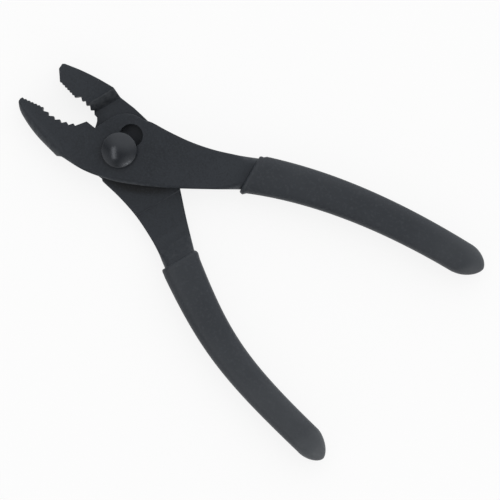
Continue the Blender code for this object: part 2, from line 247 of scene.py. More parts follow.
# Fineness of the meshes
CURVE_STEPS = 8
ARC_STEPS = 28
SPINE_STEPS = 60
ROUND_SIDES = 72
RIM_ROWS = 12
NOSE_ROWS = 16
LIP_ROWS = 6
SHOULDER_CUTS = 20
PAD_CUTS = 8
RAMP_CUTS = 32

# Edges that turn more than this stay sharp in the shading
SHARP_ANGLE = math.radians(38)

# Points of an outline nearer than the first are one, and so are vertices nearer than the second
SAME_POINT = 0.01 * MM
WELD = 1e-7

# Least cosine with which an inset is stretched at a corner of an outline
CORNER_COSINE = 0.6

# Grips: least distance of a row from the mouth, lip lengths from the mouth to the straight outside, and
# the part of a row that the nose's last face closes
MOUTH_CLEAR = 0.3 * MM
LIP_LENGTHS = 1.5
NOSE_FACE = 0.4

# Nut: the share of its flats where the round chamfer starts, and the chamfer's slope
NUT_FACE = 0.97
NUT_CHAMFER = math.radians(30)

# Patterns of the finishes: features in a metre, and how many finer layers each holds
OXIDE_MOTTLE = (90.0, 5.0)
OXIDE_GRAIN = (1500.0, 2.0)
OXIDE_STROKES = (420.0, 2.0)
WEAR_AND_LIGHT_NOISE = (500.0, 3.0)
BOLT_MOTTLE = (160.0, 4.0)
BOLT_GRAIN = (3200.0, 2.0)
RUBBER_CLOUD = (55.0, 4.0)
RUBBER_PEBBLE = (850.0, 4.0)
RUBBER_SWELL = (140.0, 2.0)

# The strokes are drawn out along a half by this share
STROKE_STRETCH = (0.12, 1.0, 1.0)

# Middle band of a pattern, narrow and wide, its paler and darker half, and the specks of the rubber
NARROW_BAND = (0.35, 0.65)
WIDE_BAND = (0.3, 0.7)
PALE_HALF = (0.5, 0.75)
DARK_HALF = (0.5, 0.25)
SPECK_BAND = (0.5, 0.72)

# Most of a second tone that a pattern brings into a finish
OXIDE_PATCHES = 0.35
PALE_GRAIN = 0.7
DARK_GRAIN = 0.35
RUBBER_PATCHES = 0.25
RUBBER_SPECKS = 0.8

# Pale wide edges, partly edge wear and partly painted highlight, and slopes painted pale as painted light:
# the least and the most that a noise leaves of them, where in it the pale steel starts to show and shows
# most, and how much of it shows then
WEAR_AND_LIGHT_RANGE = (0.5, 1.05)
WEAR_AND_LIGHT_BAND = (0.3, 1.0)
WEAR_AND_LIGHT_MOST = 0.85

# Relief of the finishes: strength and depth
STROKE_RELIEF = (0.12, 0.06 * MM)
GRAIN_RELIEF = (0.25, 0.05 * MM)
BOLT_RELIEF = (0.1, 0.04 * MM)
SWELL_RELIEF = (0.15, 0.25 * MM)
PEBBLE_RELIEF = (0.45, 0.12 * MM)

# Roughness from the smooth to the rough places of a pattern, and the level of the shine
OXIDE_ROUGHNESS = (0.46, 0.56)
GRAIN_ROUGHNESS = (-0.04, 0.04)
BOLT_ROUGHNESS = (0.22, 0.28)
RUBBER_ROUGHNESS = (0.5, 0.62)
OXIDE_METALLIC = 0.3
OXIDE_SHINE = 0.3
BOLT_SHINE = 0.38
RUBBER_SHINE = 0.42

# Distances from the pivot between which the oxide turns paler, and how much it does
OXIDE_PALING_FROM_TO = (14 * MM, 48 * MM)
OXIDE_PALING_SHARE = 0.66

# Painted shade and light on the back half's lap, each an egg shape: its tone and strength, and its middle,
# turn and half sizes in millimetres and degrees. A painted shadow lies beside the front half's shank, and
# painted light beside the front half's plate. The core is the share of the half sizes at full strength
PaintedShadeAndLight = namedtuple("PaintedShadeAndLight", "tone strength middle turn half_sizes")
BACK_PAINTED_SHADE_AND_LIGHT = (
    PaintedShadeAndLight("oxide_dark", 0.95, (15.0, -6.2, 6.1), 30.6, (16.0, 4.5, 3.0)),
    PaintedShadeAndLight("oxide_pale", 0.95, (-6.0, 11.5, 6.1), 0.0, (13.0, 8.0, 3.0)),
)
PAINTED_SHADE_AND_LIGHT_CORE = 0.6

# Paler rubber towards the end of each grip, and a painted highlight on its nose: distances from the pivot
# between which each grows, and how much there is then. The range is the least and the most that its clouds
# make of it
FRONT_END_PALING_AND_HIGHLIGHT = ((125 * MM, 160 * MM, 0.4), (146 * MM, 155 * MM, 0.3))
BACK_END_PALING_AND_HIGHLIGHT = ((80 * MM, 160 * MM, 0.45), (138 * MM, 148 * MM, 0.65))
END_PALING_RANGE = (0.7, 1.3)

# Lights: bearing in the picture (0 is right, 90 is up) and elevation in degrees, width and height in metres
WINDOW_BEARING = (202.0, 61.5)
WINDOW_SIZE = (1.1, 0.34)
WINDOW_ROLL = -22.0
SLIT_BEARING = (-62.0, 20.0)
SLIT_SIZE = (0.75, 0.04)
LIGHT_DISTANCE = 1.2

# Half width of the floor, how far it lies below the rest plane so that the two don't flicker, its white
# and its roughness
FLOOR_SIZE = 6.0
FLOOR_GAP = 0.1 * MM
FLOOR_WHITE = 0.96
FLOOR_ROUGHNESS = 0.9

# How far the middle of the picture may be moved from the pivot, the width of the camera's sensor in
# millimetres, and how far the camera sees
VIEW_REACH = 1.0
SENSOR_WIDTH = 36.0
SIGHT = 100.0

# Glowing walls: bearing and elevation of the middle, and the cosines at which the glow starts and is full
WALLS = ((72.0, 25.0, 0.2, 0.8), (214.0, 0.0, 0.64, 1.0), (-52.0, 12.0, 0.7, 1.0))

# Steepness of a ray between which the room's white near the floor fades
HORIZON_BAND = (0.03, 0.2)

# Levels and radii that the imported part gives
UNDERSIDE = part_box("front_half")[0].z
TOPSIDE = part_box("front_half")[1].z
GRIP_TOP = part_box("front_grip")[1].z
MIDDLE = GRIP_TOP / 2
DOME_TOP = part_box("pivot_bolt")[1].z
HEAD_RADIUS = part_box("pivot_bolt")[1].x
NUT_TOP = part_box("pivot_nut")[1].z
NUT_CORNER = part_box("pivot_nut")[1].x
SLIP = next(joint for joint in frame["joints"] if joint["name"] == "slot_slip")
SLIP_AXIS = Vector(SLIP["axis"]).xy
SLIP_TRAVEL = SLIP["range_m"][1]


class PliersForging(bpy.types.PropertyGroup):
    """Sizes of the two forged halves, measured from the pivot along each half's own axis."""

    front_lean: angle("Front lean", "Turn of the front half's axis from +X", 7.0)
    back_lean: angle("Back lean", "Turn of the back half's axis from +X", -22.5)
    lap_gap: length("Lap gap", "Running gap between the two laps", 0.3)
    shoulder_at: length("Shoulder", "Pivot to the foot of the shoulder behind the jaw", 18.3)
    shoulder_run: length("Shoulder run", "Length of the shoulder's slope", 5.0)
    pad_end: length("Pad end", "Pivot to the end of the ground pad on the lap", 26.0)
    pad_run: length("Pad run", "Length of the step at the end of the pad", 1.3)
    pad_step: length("Pad step", "How far the shank lies below the pad", 0.5)
    front_ramp_at: length("Front ramp", "Pivot to the start of the front shank's swelling", 46.5)
    back_ramp_at: length("Back ramp", "Pivot to the start of the back shank's swelling", 38.5)
    mouth_at: length("Mouth", "Pivot to the mouth of the grip", 51.1)
    ramp_end: length("Ramp end", "Pivot to where the tang inside the grip has its full height", 54.5)
    tang_cover: length("Tang cover", "Edge of the grip to the edge of the tang inside it", 1.1)
    tang_settle: length("Tang settle", "Length over which the tang comes to lie mid-grip", 12.0)
    tang_low: length("Tang low", "Grip's underside to the front tang", 0.9)
    tang_high: length("Tang high", "Grip's underside to the top of the front tang", 10.9)
    allowance: length("Allowance", "How far the forging stands outside its plan outline", 0.12)
    wear_reach: length("Wear reach", "How far from an edge its tone changes", 0.8)


class PliersPivot(bpy.types.PropertyGroup):
    """Sizes of the slip slot, the bolt and the nut."""

    lobe_radius: length("Lobe radius", "Radius of each lobe of the slip slot", 4.7)
    neck_width: length("Neck width", "Width of the slot between its lobes", 5.6)
    fit_gap: length("Fit gap", "Clearance round the bolt and the nut", 0.3)
    seat_gap: length("Seat gap", "Clearance under the bolt's head", 0.05)
    head_lip: length("Head lip", "Height of the straight rim under the dome", 2.0)
    rim_round: length("Rim round", "Rounding of the dome's rim", 0.3)
    shank_radius: length("Shank radius", "Radius of the bolt in the back half", 3.7)
    thread_radius: length("Thread radius", "Radius of the bolt's threaded end", 3.1)
    thread_pitch: length("Thread pitch", "Pitch of the bolt's thread", 0.8)
    seat_depth: length("Nut seat depth", "Depth of the nut's seat in the back half", 2.4)
    chamfer: length("Chamfer", "Chamfer of the nut's bore and of the bolt's end", 0.4)


class PliersGrips(bpy.types.PropertyGroup):
    """Sizes of the two dipped grips."""

    lip_round: length("Lip round", "Rounding of the lip across the grip", 0.7)
    lip_run: length("Lip run", "Rounding of the lip along the grip", 1.6)
    end_round: length("End round", "Length of the rounded end", 9.5)
    end_fullness: fullness("End fullness", "2 is an oval end, less is more pointed", 1.7, least=1.0)
    end_wall: length("End wall", "Rubber past the end of the tang", 8.0)
    fade: length("Mouth fade", "Length over which the slanted mouth turns square to the handle", 24.0)
    squareness: fullness("Squareness", "2 is an oval section, more is squarer", 3.4)
    end_squareness: fullness("End squareness", "Squareness of the section at the very end", 2.2)
    pocket_squareness: fullness("Pocket squareness", "Squareness of the room for the tang", 4.2)
    sides: bpy.props.IntProperty(name="Sides", description="Points round a section", default=56, min=16)


class PliersFinishes(bpy.types.PropertyGroup):
    """Colours of the finishes."""

    oxide: colour("Oxide", "Black oxide on the forgings", (0.0125, 0.0157, 0.0208))
    # Also the painted light beside the front half's plate on the back half's lap
    oxide_pale: colour("Pale oxide", "Black oxide where it is thinner", (0.0245, 0.0290, 0.0358))
    # Also painted shade: the dark line along narrow edges and the painted shadow on the back half's lap
    oxide_dark: colour("Dark oxide", "Heavier black along the narrow edges", (0.0045, 0.0055, 0.0070))
    # Pale steel along wide edges, partly edge wear and partly painted highlight, and on slopes as painted
    # light
    worn: colour("Worn edge", "Steel showing through along the edges", (0.070, 0.076, 0.084))
    bolt: colour("Bolt", "Black oxide on the bolt and the nut", (0.0175, 0.0207, 0.0260))
    bolt_pale: colour("Pale bolt", "The bolt's oxide where it is thinner", (0.0205, 0.0238, 0.0292))
    rubber: colour("Rubber", "Dipped grip", (0.0076, 0.0118, 0.0183))
    rubber_pale: colour("Pale rubber", "Specks of the dipped grip", (0.0247, 0.0300, 0.0380))
    # Paler rubber towards the end of a grip, and the painted highlight on its nose
    rubber_dusty: colour("Dusty rubber", "Dipped grip at its rubbed end", (0.0560, 0.0625, 0.0700))


class PliersStage(bpy.types.PropertyGroup):
    """Camera, light and floor."""

    view_turn: angle("View turn", "Turn of the picture about +Z", 37.0)
    view_width: length("View width", "Width of the picture at the pliers", 205.0)
    view_x: length("View centre x", "Middle of the picture along +X", 67.34)
    view_y: length("View centre y", "Middle of the picture along +Y", -0.39, least=-VIEW_REACH)
    view_height: length("View height", "Camera above the floor", 2000.0)
    window_power: power("Window", "Long light on the picture's left", 4.2)
    slit_power: power("Slit", "Low narrow light on the picture's lower right", 1.7)
    room: brightness("Room", "Brightness of the room where no wall glows", 0.32)
    upper_glow: brightness("Upper glow", "Glow of the wall on the picture's upper side", 1.15)
    left_glow: brightness("Left glow", "Glow of the wall on the picture's lower left", 0.95)
    right_glow: brightness("Right glow", "Glow of the wall on the picture's lower right", 1.0)
    horizon: brightness("Horizon", "Brightness of the room near the floor", 1.0)
    glow: share("Floor glow", "Share of the floor's white that no shadow dims", 0.85)


def forging():
    return bpy.context.scene.pliers_forging


def pivot():
    return bpy.context.scene.pliers_pivot


def grips():
    return bpy.context.scene.pliers_grips


def finishes():
    return bpy.context.scene.pliers_finishes


def towards(turn):
    """The direction at an angle in plan."""
    return Vector((math.cos(turn), math.sin(turn)))


def left_of(way):
    return Vector((-way.y, way.x))


def ease(value, start, end):
    """Rises smoothly from 0 at the start to 1 at the end."""
    t = min(max((value - start) / (end - start), 0.0), 1.0)
    return t * t * (3 - 2 * t)


def slope(value, start, end, fillet):
    """Rises from 0 to 1 as a straight slope, with a fillet over a share of it at each end."""
    t = min(max((value - start) / (end - start), 0.0), 1.0)
    if t > 0.5:
        return 1 - slope(start + end - value, start, end, fillet)
    if t < fillet:
        return t * t / (2 * fillet * (1 - fillet))
    return (t - fillet / 2) / (1 - fillet)


def rimmed(points, rim):
    """Plan points with a rim width and drop, given in millimetres."""
    return [Vector((p.x, p.y, rim[0] * MM, rim[1] * MM)) for p in points]


def arc(centre, radius, start, end, steps=ARC_STEPS):
    """Points on a circle from one angle to another."""
    turns = [start + (end - start) * i / steps for i in range(steps + 1)]
    return [centre + towards(turn) * radius for turn in turns]


def through(points, steps=CURVE_STEPS):
    """A smooth open curve through the points (a Catmull-Rom spline), rims included."""
    knots = [2 * points[0] - points[1], *points, 2 * points[-1] - points[-2]]
    curve = []
    for a, b, c, d in zip(knots, knots[1:], knots[2:], knots[3:]):
        for i in range(steps):
            t = i / steps
            squared = (2 * a - 5 * b + 4 * c - d) * t**2
            cubed = (3 * b - a - 3 * c + d) * t**3
            curve.append((2 * b + (c - a) * t + squared + cubed) / 2)
    return [*curve, points[-1]]


def teeth(start, end, sag, saw):
    """A saw edge between two points: tips on a shallow arc, valleys on the left of the way."""
    a, b = plan(start, end)
    count = max(1, round((b - a).length / (saw.pitch * MM)))
    side = left_of(b - a).normalized()
    shares = [i / count for i in range(count + 1)]
    tips = [a.lerp(b, t) + side * (4 * sag * t * (1 - t) - saw.proud) * MM for t in shares]
    edge = [tips[0]]
    for here, there in zip(tips, tips[1:]):
        cut = left_of(there - here).normalized() * saw.depth * MM
        edge += [here.lerp(there, saw.valley) + cut, there]
    return rimmed(edge, TOOTH_RIM)


SpineRow = namedtuple("SpineRow", "point heading half_width")
GripRow = namedtuple("GripRow", "point heading across half_width run")


def spine_rows(handle):
    """Middle line of a handle, one cubic curve."""
    start, stop = plan(handle.start, handle.end)
    held, end_held = [(stop - start).length * hold for hold in handle.holds]
    leaving = start + towards(math.radians(handle.heading)) * held
    arriving = stop - towards(math.radians(handle.end_heading)) * end_held
    curve = interpolate_bezier(start, leaving, arriving, stop, SPINE_STEPS + 1)
    rows = []
    for i, here in enumerate(curve):
        before, after = curve[max(i - 1, 0)], curve[min(i + 1, SPINE_STEPS)]
        t = i / SPINE_STEPS
        width = handle.width + (handle.end_width - handle.width) * t - 4 * handle.waist * t * (1 - t)
        rows.append(SpineRow(here.xy, (after - before).xy.normalized(), width * MM / 2))
    return rows


def run_of(rows):
    """Distance along the middle line at each of its rows."""
    runs = [0.0]
    for a, b in zip(rows, rows[1:]):
        runs.append(runs[-1] + (b.point - a.point).length)
    return runs


def covers_at(handle, run):
    """How far the grip stands outside the tang on its right and left, at a distance along the handle."""
    cover = forging().tang_cover
    early = 1 - ease(run, 0.0, forging().tang_settle)
    return [cover + (mouth_cover * MM - cover) * early for mouth_cover in handle.covers]


def tang_edge(run_in, handle, run_out):
    """Edge of a shank and its tang: along the right side, round the end and back on the left."""
    cover = forging().tang_cover
    rows = spine_rows(handle)
    runs = run_of(rows)
    end_radius = rows[-1].half_width - cover
    keep = runs[-1] - grips().end_wall - pivot().fit_gap - end_radius
    right, left = [], []
    for row, run in zip(rows, runs):
        if run < keep:
            right_cover, left_cover = covers_at(handle, run)
            right.append(row.point - left_of(row.heading) * (row.half_width - right_cover))
            left.insert(0, row.point + left_of(row.heading) * (row.half_width - left_cover))
            last = row
    right, left = rimmed(right, TANG_RIM), rimmed(left, TANG_RIM)
    aim = math.atan2(last.heading.y, last.heading.x)
    tip = arc(last.point, last.half_width - cover, aim - math.pi / 2, aim + math.pi / 2)[1:-1]
    edge = through([*run_in, right[0]]) + right[1:] + rimmed(tip, TANG_RIM)
    return edge + left + through([left[-1], *run_out])[1:]


def front_outline():
    """Plan of the front half, counter-clockwise from the jaw's tip along its back to the handle."""
    slot_middle = SLIP_AXIS * SLIP_TRAVEL / 2
    join = FRONT_UPPER_EDGE[-1].xy - slot_middle
    start = math.atan2(join.y, join.x)
    plate_edge = arc(slot_middle, FRONT_PLATE_RADIUS * MM, start, math.radians(FRONT_PLATE_END))
    turned_teeth = COARSE_TEETH._replace(valley=1 - COARSE_TEETH.valley)
    edge = through(FRONT_JAW_BACK)
    edge += tang_edge(FRONT_LOWER_EDGE, FRONT_HANDLE, FRONT_UPPER_EDGE)
    edge += rimmed(plate_edge[1:], PLATE_RIM)
    edge += rimmed(plan(*FRONT_CUTTER), NOTCH_RIM)
    edge += teeth(FRONT_TEETH_END, FRONT_FLAT_END, FRONT_PIPE_SAG, turned_teeth)
    return edge + teeth(FRONT_FLAT_END, FRONT_TIP, 0.0, FINE_TEETH)[1:]


def back_outline():
    """Plan of the back half, counter-clockwise from the jaw's tip along its mouth to the handle."""
    throat = rimmed(plan(*BACK_THROAT), NOTCH_RIM)
    notch, outer = throat[-1], BACK_OUTER_EDGE[0]
    lap_start = math.atan2(notch.y, notch.x)
    lap_end = 2 * math.pi + math.atan2(outer.y, outer.x)
    edge = teeth(BACK_TIP, BACK_FLAT_END, 0.0, FINE_TEETH)
    edge += teeth(BACK_TEETH_START, BACK_TEETH_END, BACK_PIPE_SAG, COARSE_TEETH)
    edge += through(throat)
    edge += rimmed(arc(Vector((0, 0)), BACK_LAP_RADIUS * MM, lap_start, lap_end)[1:-1], LAP_RIM)
    edge += tang_edge(BACK_OUTER_EDGE, BACK_HANDLE, BACK_INNER_EDGE)
    edge += through(BACK_LAP_TOP)
    edge += [BACK_JAW_BACK[0]]
    edge += through(BACK_JAW_BACK[1:])
    return edge + BACK_TIP_FACE


def slot_outline():
    """Plan of the slip slot, clockwise: the far lobe, the neck and the near lobe."""
    turn = math.atan2(SLIP_AXIS.y, SLIP_AXIS.x)
    neck = math.asin(pivot().neck_width / 2 / pivot().lobe_radius)
    radius = pivot().lobe_radius
    near = arc(Vector((0, 0)), radius, turn + 2 * math.pi - neck, turn + neck)
    far = arc(SLIP_AXIS * SLIP_TRAVEL, radius, turn + math.pi - neck, turn - math.pi + neck)
    return rimmed(near + far, SLOT_RIM)


def circle(radius, sides=ROUND_SIDES):
    """Points round the pivot axis."""
    return [towards(2 * math.pi * i / sides) * radius for i in range(sides)]


def raised(points, height):
    """Plan points at a height."""
    return [(*p, height) for p in points]


def first_row(bm, points):
    """A closed row of vertices and edges."""
    row = [bm.verts.new(point) for point in points]
    for pair in zip(row, [*row[1:], row[0]]):
        bm.edges.new(pair)
    return row


def row_edges(bm, row):
    return [bm.edges.get(pair) for pair in zip(row, [*row[1:], row[0]])]


def next_row(bm, row, points):
    """Extrudes a closed row and moves the new one onto the points."""
    drawn = bmesh.ops.extrude_edge_only(bm, edges=row_edges(bm, row))["geom"]
    fresh = {item for item in drawn if isinstance(item, bmesh.types.BMVert)}
    new_row = []
    for old, point in zip(row, points):
        new = next(e.other_vert(old) for e in old.link_edges if e.other_vert(old) in fresh)
        new.co = point
        new_row.append(new)
    return new_row


def draw_rows(bm, rings):
    """Closed rows through rings of points, each drawn out of the one before it."""
    rows = [first_row(bm, rings[0])]
    for points in rings[1:]:
        rows.append(next_row(bm, rows[-1], points))
    return rows


def close_row(bm, row):
    bmesh.ops.contextual_create(bm, geom=row_edges(bm, row))


def add_piece(name, bm, finish):
    """Closes the mesh's seams, turns its faces outwards, shades it and makes it an object."""
    bmesh.ops.remove_doubles(bm, verts=bm.verts, dist=WELD)
    bmesh.ops.recalc_face_normals(bm, faces=bm.faces)
    mesh = bpy.data.meshes.new(name)
    bm.to_mesh(mesh)
    bm.free()
    mesh.shade_smooth()
    mesh.set_sharp_from_angle(angle=SHARP_ANGLE)
    mesh.materials.append(finish)
    piece = bpy.data.objects.new(name, mesh)
    bpy.context.scene.collection.objects.link(piece)
    return piece


def settle(piece, node, body):
    """Hides the node's imported part and puts the piece on its body."""
    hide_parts(node)
    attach(piece, body)


def inward(outline):
    """The direction into the steel at each point of a closed outline, stretched at its corners."""
    ways = []
    befores = [outline[-1], *outline[:-1]]
    afters = [*outline[1:], outline[0]]
    for before, here, after in zip(befores, outline, afters):
        arriving = left_of(here.xy - before.xy).normalized()
        leaving = left_of(after.xy - here.xy).normalized()
        way = (arriving + leaving).normalized()
        ways.append(way / max(way.dot(arriving), CORNER_COSINE))
    return ways


def merged(outline):
    """The outline without points that repeat their neighbour."""
    kept = [outline[0]]
    for point in outline[1:]:
        if (point.xy - kept[-1].xy).length > SAME_POINT:
            kept.append(point)
    if (kept[-1].xy - kept[0].xy).length < SAME_POINT:
        kept.pop()
    return kept


def grown(outline, amount):
    """The outline moved outwards, rims included."""
    return [Vector((*(p.xy - way * amount), p.z, p.w)) for p, way in zip(outline, inward(outline))]


def under_rims(outline, under_share):
    """Rims on the underside: small ones, but as large as on top where the share is 1."""
    rims = []
    for p in outline:
        small = min(p.z, UNDER_RIM), min(p.w, UNDER_RIM)
        rims.append([a + (b - a) * under_share(p) for a, b in zip(small, (p.z, p.w))])
    return rims


def slab_edge(bm, worn, outline, under_share):
    """Wall and rounded rims along one outline of a slab; returns its top and bottom rows."""
    ways = inward(outline)
    tops = [(p.z, p.w) for p in outline]
    unders = under_rims(outline, under_share)
    reach = forging().wear_reach
    reaches = [max(reach, RIM_WEAR_AND_LIGHT_SHARE * width) for width, drop in tops]
    # Below 0 on narrow rims: a dark line of painted shade; above 0 on wide rims: pale, partly edge wear and
    # partly painted highlight
    tones = [2 * ease(width, *RIM_WEAR_AND_LIGHT) - 1 for width, drop in tops]

    def add_row(row, insets, heights, from_edge=None):
        """The next row, with the edge's tone fading over its distance from the edge."""
        spots = zip(outline, ways, insets, heights)
        points = [(*(p.xy + way * inset), height) for p, way, inset, height in spots]
        new_row = next_row(bm, row, points) if row else first_row(bm, points)
        for vert, tone, away, limit in zip(new_row, tones, from_edge or insets, reaches):
            vert[worn] = tone * max(1.0 - away / limit, 0.0)
        return new_row

    def round_rim(row, rims, level, up):
        """The rounding from a wall onto the face at a level, and the flat strip beside it."""
        for step in range(1, RIM_ROWS + 1):
            turn = math.pi / 2 * step / RIM_ROWS
            insets = [width * (1 - math.cos(turn)) for width, drop in rims]
            drops = [drop * (1 - math.sin(turn)) ** RIM_SOFTNESS for width, drop in rims]
            row = add_row(row, insets, [level - up * drop for drop in drops])
        flat = [level] * len(rims)
        row = add_row(row, [width + GUARD for width, drop in rims], flat)
        return add_row(row, [max(width + 2 * GUARD, reach) for width, drop in rims], flat)

    flush = [0.0] * len(outline)
    upper = [TOPSIDE - drop for width, drop in tops]
    lower = [UNDERSIDE + drop for width, drop in unders]
    fades = [min(reach, (high - low) / 3) for high, low in zip(upper, lower)]
    edge = add_row(None, flush, upper)
    top = round_rim(edge, tops, TOPSIDE, 1)
    row = add_row(edge, flush, [high - fade for high, fade in zip(upper, fades)], reaches)
    row = add_row(row, flush, [low + fade for low, fade in zip(lower, fades)], reaches)
    row = add_row(row, flush, lower)
    return top, round_rim(row, unders, UNDERSIDE, -1)


def cut_across(bm, lean, stations):
    """Cuts a slab across its own axis, where its height changes."""
    axis = towards(lean).to_3d()
    for along in stations:
        whole = [*bm.verts, *bm.edges, *bm.faces]
        bmesh.ops.bisect_plane(bm, geom=whole, dist=WELD, plane_co=axis * along, plane_no=axis)


def height_stations():
    """Where a half's height changes along its own axis: the shoulder, the end of the pad and the ramp."""
    sizes = forging()
    zones = (
        (-sizes.shoulder_at - sizes.shoulder_run, -sizes.shoulder_at, SHOULDER_CUTS),
        (sizes.pad_end, sizes.pad_end + sizes.pad_run, PAD_CUTS),
        (min(sizes.front_ramp_at, sizes.back_ramp_at), sizes.ramp_end, RAMP_CUTS),
    )
    return [a + (b - a) * i / count for a, b, count in zones for i in range(count + 1)]


def upper_levels(along, ramp_at):
    """Underside and top of a half that lies on top, at a distance along its own axis, before its rims."""
    sizes = forging()
    lap = MIDDLE + sizes.lap_gap / 2
    shoulder = slope(along, -sizes.shoulder_at - sizes.shoulder_run, -sizes.shoulder_at, SHOULDER_FILLET)
    pad = slope(along, sizes.pad_end, sizes.pad_end + sizes.pad_run, PAD_FILLET)
    ramp = slope(along, ramp_at, sizes.ramp_end, RAMP_FILLET)
    under = UNDERSIDE + (lap - UNDERSIDE) * shoulder + sizes.pad_step * pad
    under += (sizes.tang_low - under) * ramp
    top = TOPSIDE + (sizes.tang_high - TOPSIDE) * ramp
    return under, top


def front_levels(along):
    return upper_levels(along, forging().front_ramp_at)


def back_levels(along):
    """The back half is such a half turned over."""
    under, top = upper_levels(along, forging().back_ramp_at)
    return 2 * MIDDLE - top, 2 * MIDDLE - under


def set_heights(bm, worn, lean, levels):
    """Moves a flat slab's two faces to the half's own heights, and paints their slopes pale as painted light.
    """
    axis = towards(lean)
    for vert in bm.verts:
        along = vert.co.xy.dot(axis)
        face, flat = (1, TOPSIDE) if vert.co.z > MIDDLE else (0, UNDERSIDE)
        vert.co.z += levels(along)[face] - flat
        rise = (levels(along + GUARD)[face] - levels(along - GUARD)[face]) / (2 * GUARD)
        # Steeper slopes are painted paler: painted light, the ramps more so
        most = RAMP_PAINTED_LIGHT if along > forging().back_ramp_at else 1.0
        vert[worn] = max(vert[worn], most * ease(abs(rise), *SLOPE_PAINTED_LIGHT))


def forge_half(name, outline, lean, levels, hole_rows, finish):
    """A forged half: its slab with rounded edges, its hole, and its heights along its own axis."""
    bm = bmesh.new()
    worn = bm.verts.layers.float.new("worn")
    axis = towards(lean)
    jaw_end = -forging().shoulder_at - forging().shoulder_run

    def in_jaw(point):
        return 1 - ease(point.xy.dot(axis), jaw_end, -forging().shoulder_at)

    outer = slab_edge(bm, worn, grown(merged(outline), forging().allowance), in_jaw)
    inner = hole_rows(bm, worn)
    for rim, hole in zip(outer, inner):
        edges = row_edges(bm, rim) + row_edges(bm, hole)
        bmesh.ops.triangle_fill(bm, use_beauty=True, edges=edges)
    cut_across(bm, lean, height_stations())
    set_heights(bm, worn, lean, levels)
    return add_piece(name, bm, finish)


def slot_rows(bm, worn):
    """The slip slot through the front half."""
    return slab_edge(bm, worn, merged(slot_outline()), lambda point: 0.0)


def bolt_hole_rows(bm, worn):
    """The bolt's hole through the back half, and the nut's seat below it."""
    sizes = pivot()
    hole = sizes.shank_radius + sizes.fit_gap
    seat = NUT_CORNER + sizes.fit_gap
    seat_top = UNDERSIDE + sizes.seat_depth
    rim = SLOT_RIM[0] * MM
    steps = [
        (hole + rim + GUARD, TOPSIDE),
        (hole + rim, TOPSIDE),
        (hole, TOPSIDE - rim),
        (hole, seat_top),
        (seat, seat_top),
        (seat, UNDERSIDE + rim),
        (seat + rim, UNDERSIDE),
        (seat + rim + GUARD, UNDERSIDE),
    ]
    rows = draw_rows(bm, [raised(circle(radius), level) for radius, level in steps])
    return rows[0], rows[-1]


def section(centre, across, half_width, height, half_height, squareness):
    """A rounded-square section of a handle, standing on its plan direction."""
    points = []
    sides = grips().sides
    for i in range(sides):
        turn = 2 * math.pi * i / sides
        c, s = math.cos(turn), math.sin(turn)
        aside = math.copysign(abs(c) ** (2 / squareness), c) * half_width
        up = math.copysign(abs(s) ** (2 / squareness), s) * half_height
        points.append((*(centre + across * aside), height + up))
    return points


def grip_line(handle, lean):
    """Middle line of a grip from its slanted mouth on."""
    axis = towards(lean)
    mouth_at = forging().mouth_at
    rows = spine_rows(handle)
    kept = [row for row in rows if row.point.dot(axis) > mouth_at + MOUTH_CLEAR]
    before, after = rows[len(rows) - len(kept) - 1], kept[0]
    t = (mouth_at - before.point.dot(axis)) / (after.point - before.point).dot(axis)
    half_width = before.half_width + (after.half_width - before.half_width) * t
    kept.insert(0, SpineRow(before.point.lerp(after.point, t), before.heading, half_width))
    line = []
    for row, run in zip(kept, run_of(kept)):
        slant = lean - math.atan2(row.heading.y, row.heading.x)
        slant *= 1 - ease(run, 0.0, grips().fade)
        across = left_of(row.heading)
        across.rotate(Matrix.Rotation(slant, 2))
        line.append(GripRow(row.point, row.heading, across / math.cos(slant), row.half_width, run))
    return line


def pocket_rings(handle, lean, levels, line):
    """The room for the tang, from its closed end to the mouth."""
    sizes = grips()
    axis = towards(lean)
    room = pivot().fit_gap / 2
    total = line[-1].run
    skipped = run_of(spine_rows(handle))[-1] - total
    rings = []
    for row in reversed(line):
        if row.run < total - sizes.end_wall:
            right, left = covers_at(handle, skipped + row.run)
            under, top = levels(row.point.dot(axis))
            middle = row.point + row.across * (right - left) / 2
            inside = row.half_width - (right + left) / 2 + room
            inner = (inside, (under + top) / 2, (top - under) / 2 + room, sizes.pocket_squareness)
            rings.append(section(middle, row.across, *inner))
    return rings


def outside_rings(handle, lean, line):
    """The rounded lip, the outside and the rounded nose."""
    sizes = grips()
    mouth, end = line[0], line[-1]
    rings = []
    for step in range(LIP_ROWS + 1):
        turn = math.pi / 2 * step / LIP_ROWS
        inset = sizes.lip_round * (1 - math.sin(turn))
        back = towards(lean) * sizes.lip_run * (1 - math.cos(turn))
        outer = (mouth.half_width - inset, MIDDLE, MIDDLE - inset, sizes.squareness)
        rings.append(section(mouth.point + back, mouth.across, *outer))
    for row in line:
        if LIP_LENGTHS * sizes.lip_run < row.run < end.run - sizes.end_round:
            rings.append(section(row.point, row.across, row.half_width, MIDDLE, MIDDLE, sizes.squareness))
    nose_way = end.heading + left_of(end.heading) * math.tan(math.radians(handle.nose_turn))
    for step in range(NOSE_ROWS):
        turn = math.pi / 2 * step / (NOSE_ROWS - NOSE_FACE)
        out = math.sin(turn) ** (2 / sizes.end_fullness)
        point = end.point - end.heading * sizes.end_round + nose_way * sizes.end_round * out
        size = math.cos(turn) ** (2 / sizes.end_fullness)
        square = sizes.squareness + (sizes.end_squareness - sizes.squareness) * math.sin(turn)
        rings.append(section(point, end.across, end.half_width * size, MIDDLE, MIDDLE * size, square))
    return rings


def dip_grip(name, handle, lean, levels, finish):
    """A dipped grip, drawn from the end of its pocket out to the mouth and back along the outside."""
    line = grip_line(handle, lean)
    rings = pocket_rings(handle, lean, levels, line) + outside_rings(handle, lean, line)
    bm = bmesh.new()
    rows = draw_rows(bm, rings)
    close_row(bm, rows[0])
    close_row(bm, rows[-1])
    return add_piece(name, bm, finish)


